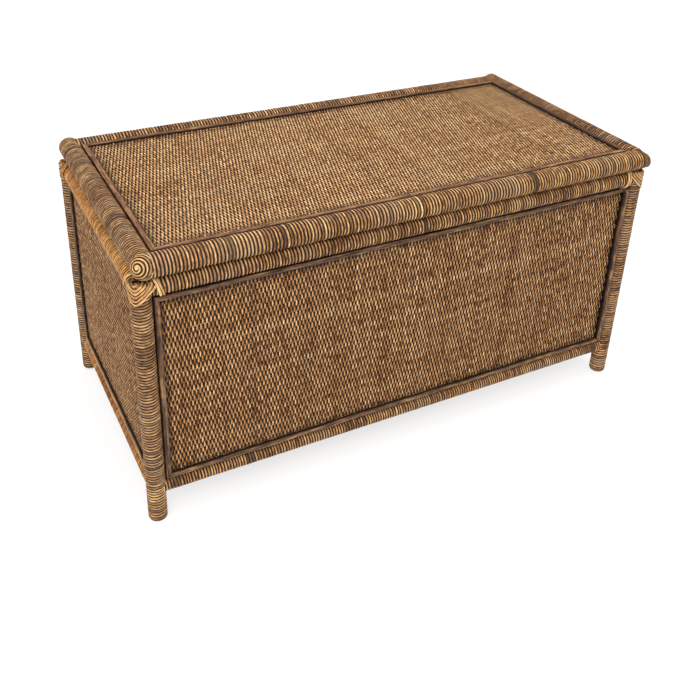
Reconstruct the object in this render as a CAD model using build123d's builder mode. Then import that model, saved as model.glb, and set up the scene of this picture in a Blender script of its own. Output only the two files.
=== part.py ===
"""Wicker trunk coffee table: a bound rattan pole frame with woven panels and a hinged lid.

Millimetres. +X runs along the length, to the right as seen from the front, +Y to the back, +Z up.
The origin is on the floor, midway between the four legs. The lid is closed.
"""

from build123d import *
import math
import os

os.makedirs("parts", exist_ok=True)

# ---------------------------------------------------------------- driving dimensions

LEG_X = 480.0  # leg axes, half their spacing along the length
LEG_Y = 230.0  # leg axes, half their spacing from front to back
LEG_RADIUS = 16.3  # outside the cane binding
LEG_TOP = 460.0
LEG_ROUND = 6.0  # rounding of the foot's edge

CANE = 1.6  # thickness of the cane bound round each frame pole
SLIP = 0.05  # gap between a pole and its binding, or a pin and its bore
CLEAR = 0.1  # gap between pieces that butt on each other
COPE_OVERRUN = 20.0  # a cope is cut this far past the end of the pole it fits round

RAIL_RADIUS = 15.7  # top rails, outside the binding
RAIL_Z = 450.4
BOTTOM_RADIUS = 12.8  # bottom rails, outside the binding
BOTTOM_Z = 65.3

LID_SHIFT = 5.0  # the handmade lid sits this far to the right of the box
LID_RADIUS = 19.15  # lid poles, outside the binding
LID_GAP = 0.65  # between the top rails and the lid poles, closed
LID_Z = RAIL_Z + RAIL_RADIUS + LID_GAP + LID_RADIUS
LID_X = 477.2  # lid end poles, half their spacing
LID_Y = 231.5  # lid long poles, half their spacing
FRONT_POLE_LEFT = -485.0  # ends of the lid's front pole
FRONT_POLE_RIGHT = 504.0
TIP_LENGTH = 20.0  # the front pole narrows over this length, at its right end
TIP_RADIUS = 13.0  # outside the cane, and level with the pole's underside
POLE_END_ROUND = 7.0
BINDING_SETBACK = 3.0  # a binding stops this far short of a rounded pole end

PLY = 6.0  # wall and lid panel thickness
FLOOR_PLY = 8.0
MAT = 3.0  # woven mat thickness
BEAD_WIDTH = 11.5
BEAD_HEIGHT = 6.0
LID_BEAD_HEIGHT = 5.0
LID_MAT = 2.6
MITRE_GAP = 0.3

UPRIGHT_RADIUS = 11.0  # bare rattan inside the box
BACK_UPRIGHT_X = 160.0
BEARER_RADIUS = 9.8
BATTEN_RADIUS = 10.0
BATTEN_X = 240.0
LASHING = 2.5  # thickness of the corner lashings
LASHING_LENGTH = 40.0
LASHING_SETBACK = 0.6  # the corner lashings stop this far under the top of the rails
BATTEN_LASHING_LENGTH = 14.0
UNDER_BEAD_WIDTH = 7.0
UNDER_BEAD_HEIGHT = 3.0

HINGE_X = 320.0
HINGE_LENGTH = 80.0
HINGE_Y = 252.0  # hinge axis
LEAF_FRONT_Y = 224.0
LEAF = 1.5
LEAF_OFFSET = 0.6  # from the height of the hinge axis to each leaf's near face
LEAF_INSET = 0.4  # from the knuckles to a leaf's back edge
KNUCKLE_RADIUS = 3.0
KNUCKLE_GAP = 0.3
KNUCKLES = 5
PIN_RADIUS = 1.5
PIN_HEAD_RADIUS = 2.5
PIN_HEAD = 1.6
SCREW_SPACING = 28.0
SCREW_HEAD_RADIUS = 2.9
SCREW_RADIUS = 1.3
SCREW_LENGTH = 12.0
SCREW_POINT = 2.0  # length of a screw's tapered tip
HOLE_EXTRA = 1.0  # a blind hole is this much deeper than what it holds

LID_OPEN = 105.0  # degrees
CORD_RADIUS = 1.2
BOX_EYE = (447.0, 92.0, 450.4)
LID_EYE = (444.0, -10.0, 480.0)
LOWER_CORD = 215.0  # length of the lower part of the stay
EYE_RADIUS = 3.2
EYE_WIRE = 0.8
EYE_SHANK = 27.0
CORD_END_GAP = 5.0  # the cord's loop through the eye takes this length
APEX_GAP = 1.5  # each length of the stay stops this short of their meeting point

CUT_DEPTH = 20.0  # depth of the boxes that flats and edges are cut with
CUT_REACH = 60.0  # and their width across a pole

# ---------------------------------------------------------------- worked-out dimensions

FRONT = ("front", -1)
BACK = ("back", 1)
LEFT = ("left", -1)
RIGHT = ("right", 1)

PANEL_X = LEG_X - LEG_RADIUS - CLEAR  # half-width of a long wall
PANEL_Y = LEG_Y - LEG_RADIUS - CLEAR  # half-width of an end wall
PANEL_BOTTOM = BOTTOM_Z + BOTTOM_RADIUS + CLEAR
PANEL_TOP = RAIL_Z - RAIL_RADIUS - CLEAR
PANEL_HEIGHT = PANEL_TOP - PANEL_BOTTOM
PANEL_MIDDLE = (PANEL_TOP + PANEL_BOTTOM) / 2
MAT_OUT = 3.2  # a side mat's outer face, beyond the pole axes
WALL_IN = MAT - MAT_OUT + PLY  # the wall's inner face, inside the pole axes

LID_MAT_RISE = 10.9  # the lid mat's top, above the lid poles' axes
LID_TOP_OF_MAT = LID_Z + LID_MAT_RISE
LID_PLY_BOTTOM = LID_TOP_OF_MAT - LID_MAT - PLY
LID_PANEL_X = LID_X - LID_RADIUS - CLEAR
LID_PANEL_Y = LID_Y - LID_RADIUS - CLEAR
LID_BEAD_SET_OUT = 3.3  # the top bead leans this far out over the poles' shoulders

FLOOR_BOTTOM = PANEL_BOTTOM + 2 * CLEAR
FLOOR_TOP = FLOOR_BOTTOM + FLOOR_PLY

LASHING_TOP = RAIL_Z + RAIL_RADIUS - LASHING_SETBACK
HINGE_Z = RAIL_Z + RAIL_RADIUS + LID_GAP / 2
BOX_LEAF_BOTTOM = HINGE_Z - LEAF - LEAF_OFFSET
LID_LEAF_BOTTOM = HINGE_Z + LEAF_OFFSET
LEAF_BACK_Y = HINGE_Y - KNUCKLE_RADIUS - LEAF_INSET
KNUCKLE_LENGTH = HINGE_LENGTH / KNUCKLES


def save(piece, label):
    """Names a finished piece and writes it as its own node."""
    piece.part.label = label
    export_step(piece.part, f"parts/{label}.step")


# ---------------------------------------------------------------- poles and their bindings

# The frame's poles lie along X, Y or Z. A pole is (start point, direction, length, bound radius).
AXIS_PLANES = {
    "x": lambda point: Plane(origin=point, x_dir=(0, 1, 0), z_dir=(1, 0, 0)),
    "y": lambda point: Plane(origin=point, x_dir=(0, 0, 1), z_dir=(0, 1, 0)),
    "z": lambda point: Plane(origin=point, x_dir=(1, 0, 0), z_dir=(0, 0, 1)),
}


def cut_cylinders(cutters, grow=0.0, overrun=0.0):
    """Takes cylinders out of the part being built. overrun lengthens each one at both ends."""
    for point, axis, length, radius in cutters:
        with Locations(AXIS_PLANES[axis](point).offset(-overrun)):
            align = (Align.CENTER, Align.CENTER, Align.MIN)
            Cylinder(radius + grow, length + 2 * overrun, align=align, mode=Mode.SUBTRACT)


def cut_boxes(boxes):
    """Takes boxes, given by centre and size, out of the part being built."""
    for centre, size in boxes:
        with Locations(centre):
            Box(*size, mode=Mode.SUBTRACT)


def make_pole(label, pole, copes=(), boxes=(), holes=(), rounded=(), tip=0):
    """A rattan pole. rounded names its free ends, 0 for the start and 1 for the far end. It narrows
    over the length tip at its far end."""
    point, axis, length, radius = pole
    base = AXIS_PLANES[axis](point)
    with BuildPart() as core:
        with BuildSketch(base):
            Circle(radius - CANE)
        extrude(amount=length - tip)
        if tip:
            with BuildSketch(base.offset(length - tip)):
                Circle(radius - CANE)
            with BuildSketch(base.offset(length)):
                with Locations((0, TIP_RADIUS - radius)):
                    Circle(TIP_RADIUS - CANE)
            loft(ruled=True)
        ends = core.edges().sort_by({"x": Axis.X, "y": Axis.Y, "z": Axis.Z}[axis])
        free_edges = [ends[0 if end == 0 else -1] for end in rounded]
        if free_edges:
            fillet(free_edges, radius=LEG_ROUND if axis == "z" else POLE_END_ROUND)
        cut_cylinders(copes, CLEAR, COPE_OVERRUN)
        cut_boxes(boxes)
        cut_cylinders(holes)
    save(core, label)


def make_binding(pole, copes=(), boxes=(), holes=(), rounded=(), tip=0):
    """The cane wound round a pole, as a thin tube. It stops short of a rounded or narrowed end."""
    point, axis, length, radius = pole
    direction = Vector(*{"x": (1, 0, 0), "y": (0, 1, 0), "z": (0, 0, 1)}[axis])
    start = Vector(*point) + direction * (BINDING_SETBACK if 0 in rounded else 0)
    span = length - tip - BINDING_SETBACK * len(rounded)
    with BuildPart() as binding:
        with BuildSketch(AXIS_PLANES[axis](start)):
            Circle(radius)
            Circle(radius - CANE + SLIP, mode=Mode.SUBTRACT)
        extrude(amount=span)
        cut_cylinders(copes, CLEAR, COPE_OVERRUN)
        cut_boxes(boxes)
        cut_cylinders(holes)
    return binding.part


def save_group(pieces, label):
    """Several separate solids of one kind, in one node."""
    with BuildPart() as group:
        for piece in pieces:
            add(piece)
    save(group, label)


# ---------------------------------------------------------------- screw places

HINGES = (("left", -HINGE_X), ("right", HINGE_X))
SCREW_XS = [x + step * SCREW_SPACING for _, x in HINGES for step in (-1, 0, 1)]
BOX_SCREW_TOP = BOX_LEAF_BOTTOM + LEAF
LID_SCREW_TOP = LID_LEAF_BOTTOM

# ---------------------------------------------------------------- box frame

legs = {}
for end_name, end in (LEFT, RIGHT):
    for side_name, side in (FRONT, BACK):
        legs[f"{side_name}_{end_name}"] = ((end * LEG_X, side * LEG_Y, 0), "z", LEG_TOP, LEG_RADIUS)

for name, leg in legs.items():
    make_pole(f"post_{name}", leg, rounded=(0,))
save_group([make_binding(leg, rounded=(0,)) for leg in legs.values()], "post_bindings")


def rail(name, z, radius):
    """A rail of the box between two legs, on the front, back, left or right."""
    if name in ("front", "back"):
        side = dict((FRONT, BACK))[name]
        return ((-LEG_X, side * LEG_Y, z), "x", 2 * LEG_X, radius)
    end = dict((LEFT, RIGHT))[name]
    return ((end * LEG_X, -LEG_Y, z), "y", 2 * LEG_Y, radius)


FLAT_CUT = (HINGE_LENGTH + 1, CUT_REACH, CUT_DEPTH)
rail_flat_z = BOX_LEAF_BOTTOM - SLIP + CUT_DEPTH / 2
rail_flats = [((x, LEG_Y, rail_flat_z), FLAT_CUT) for _, x in HINGES]
rail_screw_z = BOX_SCREW_TOP - SCREW_LENGTH - HOLE_EXTRA
rail_screw_holes = [((x, LEG_Y, rail_screw_z), "z", CUT_DEPTH, SCREW_RADIUS + SLIP) for x in SCREW_XS]


def eye_hole(eye):
    """The hole that a screw eye's shank sits in. The shank points along +X."""
    return [((eye[0] + EYE_RADIUS, eye[1], eye[2]), "x", EYE_SHANK + HOLE_EXTRA, EYE_WIRE + SLIP)]


top_rail_bindings = []
bottom_rail_bindings = []
for name in ("front", "back", "left", "right"):
    # The end rails are coped round the long rails as well as round the legs.
    long_sides = () if name in ("front", "back") else ("front", "back")
    top = rail(name, RAIL_Z, RAIL_RADIUS)
    features = {"copes": [*legs.values(), *(rail(side, RAIL_Z, RAIL_RADIUS) for side in long_sides)]}
    if name == "back":
        features.update(boxes=rail_flats, holes=rail_screw_holes)
    if name == "right":
        features.update(holes=eye_hole(BOX_EYE))
    make_pole(f"top_rail_{name}", top, **features)
    top_rail_bindings.append(make_binding(top, **features))
    bottom = rail(name, BOTTOM_Z, BOTTOM_RADIUS)
    copes = [*legs.values(), *(rail(side, BOTTOM_Z, BOTTOM_RADIUS) for side in long_sides)]
    make_pole(f"bottom_rail_{name}", bottom, copes=copes)
    bottom_rail_bindings.append(make_binding(bottom, copes=copes))
save_group(top_rail_bindings, "top_rail_bindings")
save_group(bottom_rail_bindings, "bottom_rail_bindings")

# Cane criss-crossed over each leg and rail joint, on its outer side only. It leaves room for the
# rails, for what is inside the corner, and below the rails for the panels' edges.
INNER_CUT = 30.0  # width of the boxes that clear the inner side of a corner
lashings = []
for name, leg in legs.items():
    leg_point = leg[0]
    rail_ends = [rail(side, RAIL_Z, RAIL_RADIUS) for side in name.split("_")]
    inward_x = -math.copysign(1, leg_point[0])
    inward_y = -math.copysign(1, leg_point[1])
    inner_x = leg_point[0] + inward_x * INNER_CUT / 2
    inner_y = leg_point[1] + inward_y * INNER_CUT / 2
    inner_corner = ((inner_x, inner_y, RAIL_Z), (INNER_CUT, INNER_CUT, 2 * LASHING_LENGTH))
    panel_z = PANEL_TOP + CLEAR - LASHING_LENGTH / 2
    long_panel_x = inward_x * (INNER_CUT / 2 - PANEL_X)
    end_panel_y = inward_y * (INNER_CUT / 2 - PANEL_Y)
    long_panel = ((long_panel_x, leg_point[1], panel_z), (INNER_CUT, CUT_REACH, LASHING_LENGTH))
    end_panel = ((leg_point[0], end_panel_y, panel_z), (CUT_REACH, INNER_CUT, LASHING_LENGTH))
    with BuildPart() as lashing:
        with BuildSketch(Plane.XY.offset(LASHING_TOP - LASHING_LENGTH)):
            with Locations(leg_point[:2]):
                Circle(LEG_RADIUS + LASHING)
                Circle(LEG_RADIUS + SLIP, mode=Mode.SUBTRACT)
        extrude(amount=LASHING_LENGTH)
        cut_cylinders(rail_ends, CLEAR)
        cut_boxes([inner_corner, long_panel, end_panel])
    lashings.append(lashing.part)
save_group(lashings, "corner_lashings")

# ---------------------------------------------------------------- panels of the box

# Each panel lies in a plane through its pole axes, with its normal outwards.
PANELS = {
    "front": (Plane(origin=(0, -LEG_Y, PANEL_MIDDLE), x_dir=(1, 0, 0), z_dir=(0, -1, 0)), PANEL_X),
    "back": (Plane(origin=(0, LEG_Y, PANEL_MIDDLE), x_dir=(-1, 0, 0), z_dir=(0, 1, 0)), PANEL_X),
    "left": (Plane(origin=(-LEG_X, 0, PANEL_MIDDLE), x_dir=(0, -1, 0), z_dir=(-1, 0, 0)), PANEL_Y),
    "right": (Plane(origin=(LEG_X, 0, PANEL_MIDDLE), x_dir=(0, 1, 0), z_dir=(1, 0, 0)), PANEL_Y),
}


def bead_strip(plane, half_length, middle, width, height, turned):
    """One mitred half-round strip on a panel plane. turned strips run along the plane's y."""
    sign = 1 if middle > 0 else -1
    outer = middle + sign * width / 2
    inner = middle - sign * width / 2
    long_half = half_length - MITRE_GAP
    short_half = long_half - width
    corners = [(-long_half, outer), (long_half, outer), (short_half, inner), (-short_half, inner)]
    if turned:
        corners = [(y, x) for x, y in corners]
    with BuildPart() as strip:
        with BuildSketch(plane):
            Polygon(*corners, align=None)
        extrude(amount=height)
        run = plane.y_dir if turned else plane.x_dir
        across = plane.x_dir if turned else plane.y_dir
        section_origin = plane.origin + across * middle
        with BuildSketch(Plane(origin=section_origin, x_dir=across, z_dir=run)):
            Ellipse(width / 2, height)
        extrude(amount=half_length, both=True, mode=Mode.INTERSECT)
    return strip.part


def bead_frame(plane, half_x, half_y, width, height):
    """Four mitred strips round a panel."""
    strips = []
    for sign in (-1, 1):
        strips.append(bead_strip(plane, half_x, sign * (half_y - width / 2), width, height, False))
        strips.append(bead_strip(plane, half_y, sign * (half_x - width / 2), width, height, True))
    return strips


for name, (plane, half_width) in PANELS.items():
    with BuildPart() as wall:
        with BuildSketch(plane.offset(MAT_OUT - MAT)):
            Rectangle(2 * half_width, PANEL_HEIGHT)
        extrude(amount=-PLY)
    save(wall, f"wall_{name}")

    with BuildPart() as mat:
        with BuildSketch(plane.offset(MAT_OUT)):
            Rectangle(2 * half_width, PANEL_HEIGHT)
        extrude(amount=-MAT)
    save(mat, f"woven_mat_{name}")

    strips = bead_frame(plane.offset(MAT_OUT), half_width, PANEL_HEIGHT / 2, BEAD_WIDTH, BEAD_HEIGHT)
    save_group(strips, f"bead_frame_{name}")

with BuildPart() as floor:
    with BuildSketch(Plane.XY.offset(FLOOR_BOTTOM)):
        Rectangle(2 * (LEG_X - WALL_IN - CLEAR), 2 * (LEG_Y - WALL_IN - CLEAR))
        with GridLocations(2 * LEG_X, 2 * LEG_Y, 2, 2):
            Circle(LEG_RADIUS + CLEAR, mode=Mode.SUBTRACT)
    extrude(amount=FLOOR_PLY)
save(floor, "floor_panel")

# ---------------------------------------------------------------- bare rattan inside the box


def bare_poles(label, plane, points, radius, length):
    """Bare rattan poles of one length, standing on a plane at the given points."""
    with BuildPart() as poles:
        with BuildSketch(plane):
            with Locations(*points):
                Circle(radius)
        extrude(amount=length)
    save(poles, label)


upright_y = LEG_Y - WALL_IN - UPRIGHT_RADIUS - CLEAR
upright_x = LEG_X - WALL_IN - UPRIGHT_RADIUS - CLEAR
upright_plane = Plane.XY.offset(FLOOR_TOP + CLEAR)
upright_length = PANEL_TOP - FLOOR_TOP - 2 * CLEAR
for name, side in (FRONT, BACK):
    points = [(-BACK_UPRIGHT_X, side * upright_y), (BACK_UPRIGHT_X, side * upright_y)]
    bare_poles(f"uprights_{name}", upright_plane, points, UPRIGHT_RADIUS, upright_length)
for name, end in (LEFT, RIGHT):
    bare_poles(f"upright_{name}", upright_plane, [(end * upright_x, 0)], UPRIGHT_RADIUS, upright_length)

bearer_half = LEG_Y - BOTTOM_RADIUS - CLEAR
bearer_z = FLOOR_BOTTOM - CLEAR - BEARER_RADIUS
bearer_plane = Plane(origin=(0, -bearer_half, bearer_z), x_dir=(-1, 0, 0), z_dir=(0, 1, 0))
bearer_points = [(-BATTEN_X, 0), (0, 0), (BATTEN_X, 0)]
bare_poles("floor_bearers", bearer_plane, bearer_points, BEARER_RADIUS, 2 * bearer_half)

# ---------------------------------------------------------------- lid

lid_front = (
    (FRONT_POLE_LEFT, -LID_Y, LID_Z), "x", FRONT_POLE_RIGHT - FRONT_POLE_LEFT, LID_RADIUS
)
lid_end_length = 2 * LID_Y + LID_RADIUS
lid_left = ((LID_SHIFT - LID_X, -LID_Y, LID_Z), "y", lid_end_length, LID_RADIUS)
lid_right = ((LID_SHIFT + LID_X, -LID_Y, LID_Z), "y", lid_end_length, LID_RADIUS)
lid_back = ((LID_SHIFT - LID_X, LID_Y, LID_Z), "x", 2 * LID_X, LID_RADIUS)

lid_flat_z = LID_LEAF_BOTTOM + LEAF + SLIP - CUT_DEPTH / 2
lid_flats = [((x, LID_Y, lid_flat_z), FLAT_CUT) for _, x in HINGES]
lid_screw_depth = SCREW_LENGTH + HOLE_EXTRA
lid_screw_holes = [
    ((x, LEG_Y, LID_SCREW_TOP), "z", lid_screw_depth, SCREW_RADIUS + SLIP) for x in SCREW_XS
]

lid_features = {
    "front": (lid_front, {"rounded": (0, 1), "tip": TIP_LENGTH}),
    "left": (lid_left, {"rounded": (1,), "copes": [lid_front]}),
    "right": (lid_right, {"rounded": (1,), "copes": [lid_front], "holes": eye_hole(LID_EYE)}),
    "back": (lid_back, {"copes": [lid_left, lid_right], "boxes": lid_flats, "holes": lid_screw_holes}),
}
for name, (pole, features) in lid_features.items():
    make_pole(f"lid_pole_{name}", pole, **features)
lid_bindings = [make_binding(pole, **features) for pole, features in lid_features.values()]
save_group(lid_bindings, "lid_pole_bindings")

lid_centre = (LID_SHIFT, 0, LID_TOP_OF_MAT)
lid_plane = Plane(origin=lid_centre, x_dir=(1, 0, 0), z_dir=(0, 0, 1))

with BuildPart() as lid_panel:
    with BuildSketch(lid_plane.offset(-LID_MAT)):
        Rectangle(2 * LID_PANEL_X, 2 * LID_PANEL_Y)
    extrude(amount=-PLY)
save(lid_panel, "lid_panel")

with BuildPart() as lid_mat:
    with BuildSketch(lid_plane):
        Rectangle(2 * LID_PANEL_X, 2 * LID_PANEL_Y)
    extrude(amount=-LID_MAT)
save(lid_mat, "woven_mat_lid")

lid_bead_x = LID_PANEL_X + LID_BEAD_SET_OUT
lid_bead_y = LID_PANEL_Y + LID_BEAD_SET_OUT
lid_strips = bead_frame(lid_plane, lid_bead_x, lid_bead_y, BEAD_WIDTH, LID_BEAD_HEIGHT)
save_group(lid_strips, "bead_frame_lid")

batten_z = LID_PLY_BOTTOM - CLEAR - BATTEN_RADIUS
batten_xs = [LID_SHIFT + step * BATTEN_X for step in (-1, 0, 1)]
battens = [((x, -LID_PANEL_Y, batten_z), "y", 2 * LID_PANEL_Y, BATTEN_RADIUS) for x in batten_xs]

under_plane = Plane(origin=(LID_SHIFT, 0, LID_PLY_BOTTOM), x_dir=(1, 0, 0), z_dir=(0, 0, -1))
under_strips = bead_frame(
    under_plane, LID_PANEL_X, LID_PANEL_Y, UNDER_BEAD_WIDTH, UNDER_BEAD_HEIGHT
)
batten_cut = (2 * BATTEN_RADIUS + 1, 3 * LEG_Y, CUT_DEPTH)
with BuildPart() as under_bead:
    for strip in under_strips:
        add(strip)
    cut_boxes([((x, 0, LID_PLY_BOTTOM), batten_cut) for x in batten_xs])
save(under_bead, "under_bead_lid")

for name, batten in zip(("left", "middle", "right"), battens):
    with BuildPart() as bare:
        with BuildSketch(AXIS_PLANES["y"](batten[0])):
            Circle(BATTEN_RADIUS)
        extrude(amount=batten[2])
    save(bare, f"lid_batten_{name}")

# A few turns of cane at each end of each batten, cut back where the panel lies on them.
batten_lashings = []
panel_cut_z = LID_PLY_BOTTOM - 2 * CLEAR + CUT_DEPTH / 2
for batten in battens:
    for start in (batten[0][1], batten[0][1] + batten[2] - BATTEN_LASHING_LENGTH):
        with BuildPart() as turns:
            with BuildSketch(AXIS_PLANES["y"]((batten[0][0], start, batten_z))):
                Circle(BATTEN_RADIUS + CANE)
                Circle(BATTEN_RADIUS + SLIP, mode=Mode.SUBTRACT)
            extrude(amount=BATTEN_LASHING_LENGTH)
            cut_boxes([((batten[0][0], 0, panel_cut_z), (CUT_REACH, 3 * LEG_Y, CUT_DEPTH))])
            cut_cylinders([lid_front, lid_back], CLEAR)
        batten_lashings.append(turns.part)
save_group(batten_lashings, "batten_lashings")

# ---------------------------------------------------------------- hinges


def make_leaf(label, hinge_x, bottom, knuckles, head_side):
    """A hinge leaf with its own knuckles. head_side is 1 where the screw heads show on top."""
    with BuildPart() as leaf:
        with BuildSketch(Plane.XY.offset(bottom)):
            depth = LEAF_BACK_Y - LEAF_FRONT_Y
            with Locations((hinge_x, LEAF_FRONT_Y + depth / 2)):
                Rectangle(HINGE_LENGTH, depth)
            for index in knuckles:
                x = hinge_x - HINGE_LENGTH / 2 + (index + 0.5) * KNUCKLE_LENGTH
                with Locations((x, (LEAF_BACK_Y + HINGE_Y) / 2)):
                    Rectangle(KNUCKLE_LENGTH - KNUCKLE_GAP, HINGE_Y - LEAF_BACK_Y)
        extrude(amount=LEAF)
        for index in knuckles:
            x = hinge_x - HINGE_LENGTH / 2 + index * KNUCKLE_LENGTH + KNUCKLE_GAP / 2
            with BuildSketch(AXIS_PLANES["x"]((x, HINGE_Y, HINGE_Z))):
                Circle(KNUCKLE_RADIUS)
            extrude(amount=KNUCKLE_LENGTH - KNUCKLE_GAP)
        with Locations((hinge_x, HINGE_Y, HINGE_Z)):
            Cylinder(PIN_RADIUS + SLIP, HINGE_LENGTH + 2, rotation=(0, 90, 0), mode=Mode.SUBTRACT)
        for step in (-1, 0, 1):
            with Locations((hinge_x + step * SCREW_SPACING, LEG_Y, bottom + LEAF / 2)):
                head = SCREW_HEAD_RADIUS + SLIP
                neck = SCREW_RADIUS + SLIP
                low, high = (neck, head) if head_side > 0 else (head, neck)
                Cone(low, high, LEAF, mode=Mode.SUBTRACT)
    save(leaf, label)


for name, hinge_x in HINGES:
    make_leaf(f"hinge_{name}_box_leaf", hinge_x, BOX_LEAF_BOTTOM, (0, 2, 4), 1)
    make_leaf(f"hinge_{name}_lid_leaf", hinge_x, LID_LEAF_BOTTOM, (1, 3), -1)
    with BuildPart() as pin:
        with BuildSketch(AXIS_PLANES["x"]((hinge_x, HINGE_Y, HINGE_Z))):
            Circle(PIN_RADIUS)
        extrude(amount=HINGE_LENGTH / 2 + KNUCKLE_GAP, both=True)
        head_x = HINGE_LENGTH / 2 + KNUCKLE_GAP + PIN_HEAD / 2 - CLEAR
        for side in (-1, 1):
            with Locations((hinge_x + side * head_x, HINGE_Y, HINGE_Z)):
                Cylinder(PIN_HEAD_RADIUS, PIN_HEAD, rotation=(0, 90, 0))
    save(pin, f"hinge_{name}_pin")


def make_screws(label, head_z, down):
    """Countersunk wood screws. down is -1 where they go down into the pole and 1 where they go up."""
    with BuildPart() as screws:
        with BuildSketch(Plane.XZ.offset(-LEG_Y)):
            for x in SCREW_XS:
                cone_end = head_z + down * LEAF
                tip = head_z + down * SCREW_LENGTH
                Polygon(
                    (x, head_z),
                    (x + SCREW_HEAD_RADIUS, head_z),
                    (x + SCREW_RADIUS, cone_end),
                    (x + SCREW_RADIUS, tip - down * SCREW_POINT),
                    (x, tip),
                    align=None,
                )
        for x, face in zip(SCREW_XS, screws.pending_faces[:]):
            revolve(face, axis=Axis((x, LEG_Y, 0), (0, 0, 1)))
        screws.pending_faces.clear()
    save(screws, label)


make_screws("hinge_screws_box", BOX_SCREW_TOP, -1)
make_screws("hinge_screws_lid", LID_SCREW_TOP, 1)

# ---------------------------------------------------------------- stay cord

# Closed, the slack cord hangs in a V inside the right end of the box. Fully open, it is straight.


def turned_about_hinge(y, z, degrees):
    """A point of the lid after it has opened by that angle."""
    angle = math.radians(-degrees)
    dy = y - HINGE_Y
    dz = z - HINGE_Z
    turned_y = HINGE_Y + dy * math.cos(angle) - dz * math.sin(angle)
    turned_z = HINGE_Z + dy * math.sin(angle) + dz * math.cos(angle)
    return turned_y, turned_z


open_y, open_z = turned_about_hinge(LID_EYE[1], LID_EYE[2], LID_OPEN)
taut_length = math.dist((open_y, open_z), BOX_EYE[1:])
upper_cord = taut_length - LOWER_CORD
eye_span = math.dist(LID_EYE[1:], BOX_EYE[1:])
span_angle = math.atan2(LID_EYE[2] - BOX_EYE[2], LID_EYE[1] - BOX_EYE[1])
cosine = (LOWER_CORD**2 + eye_span**2 - upper_cord**2) / (2 * LOWER_CORD * eye_span)
lower_angle = span_angle + math.acos(cosine)
apex_y = BOX_EYE[1] + LOWER_CORD * math.cos(lower_angle)
apex_z = BOX_EYE[2] + LOWER_CORD * math.sin(lower_angle)


def make_cord(label, eye, length):
    """One straight length of the stay, from its eye towards the apex of the V."""
    towards = Vector(0, apex_y - eye[1], apex_z - eye[2]).normalized()
    start = Vector(*eye) + towards * CORD_END_GAP
    with BuildPart() as cord:
        with BuildSketch(Plane(origin=start, x_dir=(1, 0, 0), z_dir=towards)):
            Circle(CORD_RADIUS)
        extrude(amount=length - CORD_END_GAP - APEX_GAP)
    save(cord, label)


make_cord("stay_cord_lower", BOX_EYE, LOWER_CORD)
make_cord("stay_cord_upper", LID_EYE, upper_cord)

for label, eye in (("stay_eye_box", BOX_EYE), ("stay_eye_lid", LID_EYE)):
    with BuildPart() as screw_eye:
        with Locations(eye):
            Torus(EYE_RADIUS, EYE_WIRE, rotation=(90, 0, 0))
        with BuildSketch(AXIS_PLANES["x"]((eye[0] + EYE_RADIUS, eye[1], eye[2]))):
            Circle(EYE_WIRE)
        extrude(amount=EYE_SHANK)
    save(screw_eye, label)

lower_turn = math.degrees(lower_angle - math.atan2(open_z - BOX_EYE[2], open_y - BOX_EYE[1]))
upper_rest = math.degrees(math.atan2(apex_z - LID_EYE[2], apex_y - LID_EYE[1]))
upper_open = math.degrees(math.atan2(BOX_EYE[2] - open_z, BOX_EYE[1] - open_y)) + LID_OPEN
print(f"hinge axis y {HINGE_Y} z {HINGE_Z:.3f}")
print(f"stay cord taut length {taut_length:.3f}, upper part {upper_cord:.3f}")
print(f"apex at rest y {apex_y:.3f} z {apex_z:.3f}")
print(f"lower part turns {lower_turn:.4f}, upper part from {upper_rest:.4f} to {upper_open:.4f}")
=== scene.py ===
"""Looks of the wicker trunk coffee table: wound cane, woven mats, beads, plywood and hardware.

Metres, in the frame of the CAD model: +X along the length, +Y to the hinge side, +Z up.
"""

import bpy
import math
import numpy as np
from mathutils import Matrix, Vector


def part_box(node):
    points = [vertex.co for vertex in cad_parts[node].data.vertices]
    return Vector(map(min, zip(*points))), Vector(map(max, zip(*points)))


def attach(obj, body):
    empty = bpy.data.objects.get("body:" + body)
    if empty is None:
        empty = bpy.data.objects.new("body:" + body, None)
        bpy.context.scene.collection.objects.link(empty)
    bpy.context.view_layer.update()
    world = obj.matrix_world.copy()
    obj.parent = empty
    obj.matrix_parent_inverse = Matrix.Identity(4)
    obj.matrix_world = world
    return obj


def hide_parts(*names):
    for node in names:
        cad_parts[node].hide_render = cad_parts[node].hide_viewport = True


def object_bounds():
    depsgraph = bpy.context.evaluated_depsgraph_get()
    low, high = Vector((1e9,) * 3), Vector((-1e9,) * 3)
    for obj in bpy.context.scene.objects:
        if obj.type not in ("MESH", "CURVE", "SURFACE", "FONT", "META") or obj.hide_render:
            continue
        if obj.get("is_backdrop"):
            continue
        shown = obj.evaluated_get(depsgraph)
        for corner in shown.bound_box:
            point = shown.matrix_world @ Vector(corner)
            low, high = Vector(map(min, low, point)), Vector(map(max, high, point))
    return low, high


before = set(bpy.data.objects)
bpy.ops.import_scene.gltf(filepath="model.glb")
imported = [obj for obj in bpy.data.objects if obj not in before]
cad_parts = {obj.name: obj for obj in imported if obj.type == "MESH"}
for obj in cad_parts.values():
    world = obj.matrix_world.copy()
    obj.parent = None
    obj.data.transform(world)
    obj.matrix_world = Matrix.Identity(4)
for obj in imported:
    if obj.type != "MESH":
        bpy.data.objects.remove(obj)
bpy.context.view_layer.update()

MM = 0.001
X, Y, Z = np.eye(3)

# ---------- sizes read from the CAD model


def box(node):
    """Lowest and highest corner of a CAD node, as arrays."""
    low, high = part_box(node)
    return np.array(low), np.array(high)


def middle(node):
    low, high = box(node)
    return (low + high) / 2


def half_size(node, axis):
    low, high = box(node)
    return (high - low)[axis] / 2


def unit(vectors):
    """Vectors scaled to a length of 1."""
    return vectors / np.linalg.norm(vectors, axis=-1, keepdims=True)


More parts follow.
